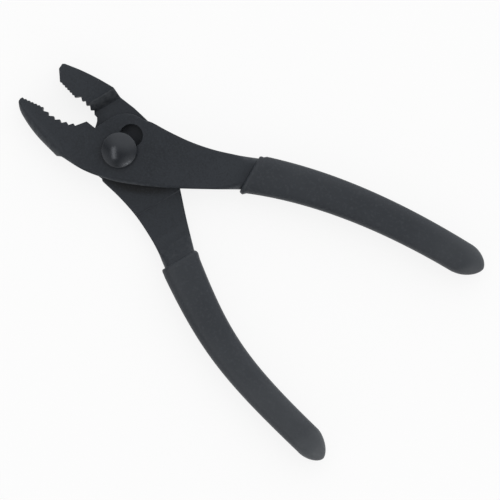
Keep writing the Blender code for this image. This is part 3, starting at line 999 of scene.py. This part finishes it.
def bolt_profile():
    """Half section of the bolt from the dome's top to the end of its thread, as (radius, height)."""
    sizes = pivot()
    seat = TOPSIDE + sizes.seat_gap
    cap = seat + sizes.head_lip
    rise = DOME_TOP - cap
    sphere = (HEAD_RADIUS**2 + rise**2) / (2 * rise)
    spread = math.asin(HEAD_RADIUS / sphere)
    dome = arc(Vector((0, DOME_TOP - sphere)), sphere, math.pi / 2, math.pi / 2 - spread)
    dome[0].x = 0.0
    rim = sizes.rim_round
    profile = [point for point in dome if point.x < HEAD_RADIUS - rim]
    last = profile[-1]
    knee = Vector((HEAD_RADIUS, cap))
    foot = Vector((HEAD_RADIUS, cap - rim))
    corners = [point.to_3d() for point in (last, knee, knee, foot)]
    profile += [point.xy for point in interpolate_bezier(*corners, RIM_ROWS)[1:]]
    upper = sizes.lobe_radius - sizes.fit_gap
    lap = MIDDLE + forging().lap_gap / 2
    seat_top = UNDERSIDE + sizes.seat_depth
    steps = [(HEAD_RADIUS, seat + rim / 2), (HEAD_RADIUS - rim / 2, seat), (upper, seat), (upper, lap)]
    steps += [(sizes.shank_radius, lap), (sizes.shank_radius, seat_top)]
    turns = int((seat_top - sizes.chamfer) / sizes.thread_pitch)
    root = sizes.thread_radius - sizes.thread_pitch / 3
    for i in range(turns):
        valley = seat_top - sizes.thread_pitch * i
        steps += [(root, valley), (sizes.thread_radius, valley - sizes.thread_pitch / 2)]
    steps += [(sizes.thread_radius, sizes.chamfer), (sizes.thread_radius - sizes.chamfer, 0), (0, 0)]
    return profile + [Vector(step) for step in steps]


def turn_bolt(name, finish):
    """The shoulder bolt, spun from its half section, with two flats on the shank that rides in the slot."""
    bm = bmesh.new()
    verts = [bm.verts.new((p.x, 0, p.y)) for p in bolt_profile()]
    edges = [bm.edges.new(pair) for pair in zip(verts, verts[1:])]
    bmesh.ops.spin(
        bm,
        geom=[*verts, *edges],
        axis=(0, 0, 1),
        cent=(0, 0, 0),
        angle=2 * math.pi,
        steps=ROUND_SIDES,
        use_merge=True,
    )
    seat = TOPSIDE + pivot().seat_gap
    lap = MIDDLE + forging().lap_gap / 2
    upper = pivot().lobe_radius - pivot().fit_gap
    flat = pivot().neck_width / 2 - pivot().fit_gap
    side = left_of(SLIP_AXIS).to_3d()
    for vert in bm.verts:
        on_shank = lap - GUARD < vert.co.z < seat + GUARD and vert.co.xy.length < upper + GUARD
        aside = vert.co.dot(side)
        if on_shank and vert.co.xy.length > upper - GUARD and abs(aside) > flat:
            vert.co -= side * (aside - math.copysign(flat, aside))
    return add_piece(name, bm, finish)


def cut_nut(name, finish):
    """The hexagon nut, with both faces chamfered round and its bore chamfered."""
    sizes = pivot()
    flat = NUT_CORNER * math.cos(math.pi / 6)
    bore = sizes.thread_radius + sizes.fit_gap / 3
    sides = 2 * ROUND_SIDES
    turns = [2 * math.pi * i / sides for i in range(sides)]
    radii = [flat / math.cos((turn + math.pi / 6) % (math.pi / 3) - math.pi / 6) for turn in turns]
    drops = [(radius - NUT_FACE * flat) * math.tan(NUT_CHAMFER) for radius in radii]
    wall = [towards(turn) * radius for turn, radius in zip(turns, radii)]
    face = circle(NUT_FACE * flat, sides)
    mouth = circle(bore + sizes.chamfer, sides)
    inside = circle(bore, sides)
    rings = [
        raised(face, 0.0),
        [(*p, drop) for p, drop in zip(wall, drops)],
        [(*p, NUT_TOP - drop) for p, drop in zip(wall, drops)],
        raised(face, NUT_TOP),
        raised(mouth, NUT_TOP),
        raised(inside, NUT_TOP - sizes.chamfer),
        raised(inside, sizes.chamfer),
        raised(mouth, 0.0),
    ]
    bm = bmesh.new()
    rows = draw_rows(bm, rings)
    bmesh.ops.bridge_loops(bm, edges=row_edges(bm, rows[-1]) + row_edges(bm, rows[0]))
    return add_piece(name, bm, finish)


class NodeBench:
    """The node tree of a finish or of the room, with short ways to add what they share."""

    def __init__(self, owner, shader, coordinates):
        owner.use_nodes = True
        self.owner = owner
        self.tree = owner.node_tree
        self.shader = self.tree.nodes[shader]
        self.place = self.add("ShaderNodeTexCoord").outputs[coordinates]

    def add(self, kind):
        return self.tree.nodes.new(kind)

    def link(self, output, node_input):
        self.tree.links.new(output, node_input)

    def noise(self, scale, detail=3.0, stretch=None):
        """Noise on the piece's own coordinates, drawn out along an axis where stretch is given."""
        node = self.add("ShaderNodeTexNoise")
        node.inputs["Scale"].default_value = scale
        node.inputs["Detail"].default_value = detail
        place = self.place
        if stretch:
            mapping = self.add("ShaderNodeMapping")
            mapping.inputs["Rotation"].default_value = (0, 0, stretch[0])
            mapping.inputs["Scale"].default_value = stretch[1]
            self.link(place, mapping.inputs["Vector"])
            place = mapping.outputs["Vector"]
        self.link(place, node.inputs["Vector"])
        return node.outputs["Fac"]

    def remap(self, value, low, high, to_low, to_high):
        node = self.add("ShaderNodeMapRange")
        self.link(value, node.inputs["Value"])
        for name, number in zip(("From Min", "From Max", "To Min", "To Max"), (low, high, to_low, to_high)):
            node.inputs[name].default_value = number
        return node.outputs["Result"]

    def maths(self, operation, first, second):
        node = self.add("ShaderNodeMath")
        node.operation = operation
        for value, socket in zip((first, second), node.inputs):
            if isinstance(value, float):
                socket.default_value = value
            else:
                self.link(value, socket)
        return node.outputs["Value"]

    def blend(self, amount, first, second):
        """Colour between two, each a colour value or another node's output."""
        node = self.add("ShaderNodeMix")
        node.data_type = "RGBA"
        self.link(amount, node.inputs[0])
        for value, socket in zip((first, second), (node.inputs[6], node.inputs[7])):
            if isinstance(value, bpy.types.NodeSocket):
                self.link(value, socket)
            else:
                socket.default_value = (*value, 1.0)
        return node.outputs[2]

    def bump(self, height, strength, depth, below=None):
        node = self.add("ShaderNodeBump")
        node.inputs["Strength"].default_value = strength
        node.inputs["Distance"].default_value = depth
        self.link(height, node.inputs["Height"])
        if below:
            self.link(below, node.inputs["Normal"])
        return node.outputs["Normal"]

    def distance(self, place=None):
        """Distance from the pivot, or the length of another place's vector."""
        node = self.add("ShaderNodeVectorMath")
        node.operation = "LENGTH"
        self.link(self.place if place is None else place, node.inputs[0])
        return node.outputs["Value"]

    def spot(self, mark):
        """The strength of a mark of painted shade or light in its core, fading to 0 at its edge."""
        mapping = self.add("ShaderNodeMapping")
        mapping.vector_type = "TEXTURE"
        mapping.inputs["Location"].default_value = Vector(mark.middle) * MM
        mapping.inputs["Rotation"].default_value = (0, 0, math.radians(mark.turn))
        mapping.inputs["Scale"].default_value = Vector(mark.half_sizes) * MM
        self.link(self.place, mapping.inputs["Vector"])
        return self.remap(self.distance(mapping.outputs["Vector"]), PAINTED_SHADE_AND_LIGHT_CORE, 1.0, mark.strength, 0.0)

    def attribute(self, name):
        node = self.add("ShaderNodeAttribute")
        node.attribute_name = name
        return node.outputs["Fac"]

    def finish(self, base, roughness, normal):
        self.link(base, self.shader.inputs["Base Color"])
        self.link(roughness, self.shader.inputs["Roughness"])
        self.link(normal, self.shader.inputs["Normal"])
        return self.owner


def finish_bench(name):
    """A new finish, on the piece's own coordinates."""
    return NodeBench(bpy.data.materials.new(name), "Principled BSDF", "Object")


def forged_oxide(name, lean, painted_shade_and_light=()):
    """Satin black oxide on forged steel: mottled, grained along the half and paler away from the pivot.

    A dark line of painted shade runs along the narrow edges; the wide edges turn pale, partly from wear and
    partly as painted highlight; slopes are painted pale as painted light; and the back half's lap carries
    painted shade and painted light.
    """
    bench = finish_bench(name)
    tones = finishes()
    mottle = bench.noise(*OXIDE_MOTTLE)
    grain = bench.noise(*OXIDE_GRAIN)
    strokes = bench.noise(*OXIDE_STROKES, (-lean, STROKE_STRETCH))
    patch = bench.remap(mottle, *NARROW_BAND, 0.0, OXIDE_PATCHES)
    pivot_distance_paling = bench.remap(bench.distance(), *OXIDE_PALING_FROM_TO, 0.0, OXIDE_PALING_SHARE)
    base = bench.blend(bench.maths("ADD", patch, pivot_distance_paling), tones.oxide, tones.oxide_pale)
    # Marks of painted shade and painted light, on the back half's lap
    for mark in painted_shade_and_light:
        base = bench.blend(bench.spot(mark), base, getattr(tones, mark.tone))
    base = bench.blend(bench.remap(grain, *PALE_HALF, 0.0, PALE_GRAIN), base, tones.oxide_pale)
    base = bench.blend(bench.remap(grain, *DARK_HALF, 0.0, DARK_GRAIN), base, tones.oxide_dark)
    worn = bench.attribute("worn")
    # Where the edge tone is below 0: a dark line of painted shade along the narrow rims
    base = bench.blend(bench.remap(worn, 0.0, -1.0, 0.0, 1.0), base, tones.oxide_dark)
    # Above 0: pale wide edges, partly edge wear and partly painted highlight, and slopes painted pale as
    # painted light
    wear_and_light_breakup = bench.remap(bench.noise(*WEAR_AND_LIGHT_NOISE), *WIDE_BAND, *WEAR_AND_LIGHT_RANGE)
    paler = bench.maths("MULTIPLY", worn, wear_and_light_breakup)
    base = bench.blend(bench.remap(paler, *WEAR_AND_LIGHT_BAND, 0.0, WEAR_AND_LIGHT_MOST), base, tones.worn)
    satin = bench.remap(mottle, *WIDE_BAND, *OXIDE_ROUGHNESS)
    roughness = bench.maths("ADD", satin, bench.remap(grain, *WIDE_BAND, *GRAIN_ROUGHNESS))
    normal = bench.bump(strokes, *STROKE_RELIEF)
    normal = bench.bump(grain, *GRAIN_RELIEF, normal)
    bench.shader.inputs["Metallic"].default_value = OXIDE_METALLIC
    bench.shader.inputs["Specular IOR Level"].default_value = OXIDE_SHINE
    return bench.finish(base, roughness, normal)


def turned_oxide(name):
    """Smoother black oxide on the turned bolt and the nut."""
    bench = finish_bench(name)
    tones = finishes()
    mottle = bench.noise(*BOLT_MOTTLE)
    grain = bench.noise(*BOLT_GRAIN)
    base = bench.blend(bench.remap(mottle, *NARROW_BAND, 0.0, 1.0), tones.bolt, tones.bolt_pale)
    roughness = bench.remap(mottle, *WIDE_BAND, *BOLT_ROUGHNESS)
    normal = bench.bump(grain, *BOLT_RELIEF)
    bench.shader.inputs["Metallic"].default_value = OXIDE_METALLIC
    bench.shader.inputs["Specular IOR Level"].default_value = BOLT_SHINE
    return bench.finish(base, roughness, normal)


def dipped_rubber(name, end_paling):
    """Matte dipped grip: a pebbled grain, soft unevenness, paler towards the end, and a painted highlight on
    the nose.
    """
    bench = finish_bench(name)
    tones = finishes()
    cloud = bench.noise(*RUBBER_CLOUD)
    pebble = bench.noise(*RUBBER_PEBBLE)
    swell = bench.noise(*RUBBER_SWELL)
    patch = bench.remap(cloud, *NARROW_BAND, 0.0, RUBBER_PATCHES)
    base = bench.blend(patch, tones.rubber, tones.rubber_pale)
    base = bench.blend(bench.remap(pebble, *SPECK_BAND, 0.0, RUBBER_SPECKS), base, tones.rubber_pale)
    # Paler towards the end, and a painted highlight at the nose
    spread, nose = [bench.remap(bench.distance(), near, far, 0.0, most) for near, far, most in end_paling]
    paling_and_highlight = bench.maths("ADD", spread, nose)
    paling_and_highlight = bench.maths("MULTIPLY", paling_and_highlight, bench.remap(cloud, *WIDE_BAND, *END_PALING_RANGE))
    base = bench.blend(paling_and_highlight, base, tones.rubber_dusty)
    roughness = bench.remap(pebble, *WIDE_BAND, *RUBBER_ROUGHNESS)
    normal = bench.bump(swell, *SWELL_RELIEF)
    normal = bench.bump(pebble, *PEBBLE_RELIEF, normal)
    bench.shader.inputs["Specular IOR Level"].default_value = RUBBER_SHINE
    return bench.finish(base, roughness, normal)


def floor_white(glow):
    """White floor: mostly bright by itself where it is seen, the rest lit so that a shadow shows."""
    bench = finish_bench("studio_floor")
    bench.shader.inputs["Base Color"].default_value = (FLOOR_WHITE, FLOOR_WHITE, FLOOR_WHITE, 1.0)
    bench.shader.inputs["Roughness"].default_value = FLOOR_ROUGHNESS
    bench.shader.inputs["Specular IOR Level"].default_value = 0.0
    light = bench.add("ShaderNodeEmission")
    light.inputs["Strength"].default_value = 1.0
    path = bench.add("ShaderNodeLightPath")
    seen = bench.maths("MAXIMUM", path.outputs["Is Camera Ray"], path.outputs["Is Glossy Ray"])
    seen = bench.maths("MAXIMUM", seen, path.outputs["Is Transmission Ray"])
    mix = bench.add("ShaderNodeMixShader")
    bench.link(bench.maths("MULTIPLY", seen, glow), mix.inputs["Fac"])
    bench.link(bench.shader.outputs["BSDF"], mix.inputs[1])
    bench.link(light.outputs["Emission"], mix.inputs[2])
    bench.link(mix.outputs["Shader"], bench.tree.nodes["Material Output"].inputs["Surface"])
    return bench.owner


def light_room(stage):
    """A room with three glowing walls, white near the floor."""
    world = bpy.data.worlds.new("studio_room")
    bench = NodeBench(world, "Background", "Generated")
    split = bench.add("ShaderNodeSeparateXYZ")
    bench.link(bench.place, split.inputs["Vector"])
    low = bench.remap(split.outputs["Z"], *HORIZON_BAND, stage.horizon, 0.0)
    sky = bench.maths("MAXIMUM", low, stage.room)
    glows = (stage.upper_glow, stage.left_glow, stage.right_glow)
    for glow, (azimuth, elevation, edge, full) in zip(glows, WALLS):
        facing = bench.add("ShaderNodeVectorMath")
        facing.operation = "DOT_PRODUCT"
        bench.link(bench.place, facing.inputs[0])
        facing.inputs[1].default_value = bearing(azimuth, elevation, stage.view_turn)
        sky = bench.maths("ADD", sky, bench.remap(facing.outputs["Value"], edge, full, 0.0, glow))
    bench.link(sky, bench.shader.inputs["Strength"])
    bench.shader.inputs["Color"].default_value = (1.0, 1.0, 1.0, 1.0)
    bpy.context.scene.world = world


def bearing(azimuth, elevation, turn):
    """The direction at a bearing in the picture and an elevation, both in degrees."""
    flat = towards(turn + math.radians(azimuth)) * math.cos(math.radians(elevation))
    return Vector((flat.x, flat.y, math.sin(math.radians(elevation))))


def hang_light(name, energy, size, way, aim, roll=0.0):
    """A light that shows only as shine, facing the pliers from a direction and rolled about it."""
    light = bpy.data.lights.new(name, "AREA")
    light.shape = "RECTANGLE"
    light.size, light.size_y = size
    light.energy = energy
    lamp = bpy.data.objects.new(name, light)
    bpy.context.scene.collection.objects.link(lamp)
    lamp.location = aim + way * LIGHT_DISTANCE
    turned = way.to_track_quat("Z", "Y") @ Quaternion((0, 0, 1), math.radians(roll))
    lamp.rotation_euler = turned.to_euler()
    lamp.visible_camera = False
    lamp.visible_diffuse = False


class PLIERS_OT_halves(bpy.types.Operator):
    """Forge the two halves with their jaws, laps, shanks and tangs"""

    bl_idname = "pliers.halves"
    bl_label = "Forge Halves"

    def execute(self, context):
        lean = forging().front_lean
        steel = forged_oxide("front_forged_oxide", lean)
        half = forge_half("front_forging", front_outline(), lean, front_levels, slot_rows, steel)
        settle(half, "front_half", "front_lever")
        lean = forging().back_lean
        steel = forged_oxide("back_forged_oxide", lean, BACK_PAINTED_SHADE_AND_LIGHT)
        half = forge_half("back_forging", back_outline(), lean, back_levels, bolt_hole_rows, steel)
        settle(half, "back_half", "back_lever")
        return {"FINISHED"}


class PLIERS_OT_pivot(bpy.types.Operator):
    """Turn the domed bolt and cut its nut"""

    bl_idname = "pliers.pivot"
    bl_label = "Make Bolt and Nut"

    def execute(self, context):
        bolt = turn_bolt("domed_bolt", turned_oxide("bolt_oxide"))
        settle(bolt, "pivot_bolt", "pivot")
        nut = cut_nut("hexagon_nut", turned_oxide("nut_oxide"))
        settle(nut, "pivot_nut", "pivot")
        return {"FINISHED"}


class PLIERS_OT_grips(bpy.types.Operator):
    """Dip both grips over their tangs"""

    bl_idname = "pliers.grips"
    bl_label = "Dip Grips"

    def execute(self, context):
        rubber = dipped_rubber("front_dipped_rubber", FRONT_END_PALING_AND_HIGHLIGHT)
        grip = dip_grip("front_dipped_grip", FRONT_HANDLE, forging().front_lean, front_levels, rubber)
        settle(grip, "front_grip", "front_lever")
        rubber = dipped_rubber("back_dipped_rubber", BACK_END_PALING_AND_HIGHLIGHT)
        grip = dip_grip("back_dipped_grip", BACK_HANDLE, forging().back_lean, back_levels, rubber)
        settle(grip, "back_grip", "back_lever")
        return {"FINISHED"}


class PLIERS_OT_stage(bpy.types.Operator):
    """Lay the white floor, hang the lights and set the camera straight above"""

    bl_idname = "pliers.stage"
    bl_label = "Set Stage"

    def execute(self, context):
        stage = context.scene.pliers_stage
        bm = bmesh.new()
        below = Matrix.Translation((0.0, 0.0, -FLOOR_GAP))
        bmesh.ops.create_grid(bm, x_segments=1, y_segments=1, size=FLOOR_SIZE, matrix=below)
        floor = add_piece("floor", bm, floor_white(stage.glow))
        light_room(stage)
        aim = Vector((stage.view_x, stage.view_y, 0.0))
        turn = stage.view_turn
        window_way, slit_way = bearing(*WINDOW_BEARING, turn), bearing(*SLIT_BEARING, turn)
        hang_light("window_light", stage.window_power, WINDOW_SIZE, window_way, aim, WINDOW_ROLL)
        hang_light("slit_light", stage.slit_power, SLIT_SIZE, slit_way, aim)
        camera = bpy.data.objects.new("camera", bpy.data.cameras.new("camera"))
        context.scene.collection.objects.link(camera)
        camera.location = (stage.view_x, stage.view_y, stage.view_height)
        camera.rotation_euler = (0.0, 0.0, turn)
        camera.data.sensor_width = SENSOR_WIDTH
        camera.data.lens = SENSOR_WIDTH * (stage.view_height - MIDDLE) / stage.view_width
        camera.data.clip_end = SIGHT
        context.scene.camera = camera
        context.scene.view_settings.view_transform = "Standard"
        return {"FINISHED"}


class PLIERS_PT_sidebar(bpy.types.Panel):
    """The steps that build the pliers, in order"""

    bl_idname = "PLIERS_PT_sidebar"
    bl_label = "Slip-joint Pliers"
    bl_space_type = "VIEW_3D"
    bl_region_type = "UI"
    bl_category = "Pliers"

    def draw(self, context):
        for step in STEPS:
            self.layout.operator(step.bl_idname)
        for name, group in GROUPS.items():
            column = self.layout.column(heading=group.__name__)
            for size in group.__annotations__:
                column.prop(getattr(context.scene, name), size)


STEPS = (PLIERS_OT_halves, PLIERS_OT_pivot, PLIERS_OT_grips, PLIERS_OT_stage)
GROUPS = {
    "pliers_forging": PliersForging,
    "pliers_pivot": PliersPivot,
    "pliers_grips": PliersGrips,
    "pliers_finishes": PliersFinishes,
    "pliers_stage": PliersStage,
}


def register():
    for cls in (*GROUPS.values(), *STEPS, PLIERS_PT_sidebar):
        bpy.utils.register_class(cls)
    for name, group in GROUPS.items():
        setattr(bpy.types.Scene, name, bpy.props.PointerProperty(type=group))


def unregister():
    for name in GROUPS:
        delattr(bpy.types.Scene, name)
    for cls in reversed((*GROUPS.values(), *STEPS, PLIERS_PT_sidebar)):
        bpy.utils.unregister_class(cls)


def main():
    register()
    bpy.ops.pliers.halves()
    bpy.ops.pliers.pivot()
    bpy.ops.pliers.grips()
    bpy.ops.pliers.stage()


if __name__ == "__main__":
    main()
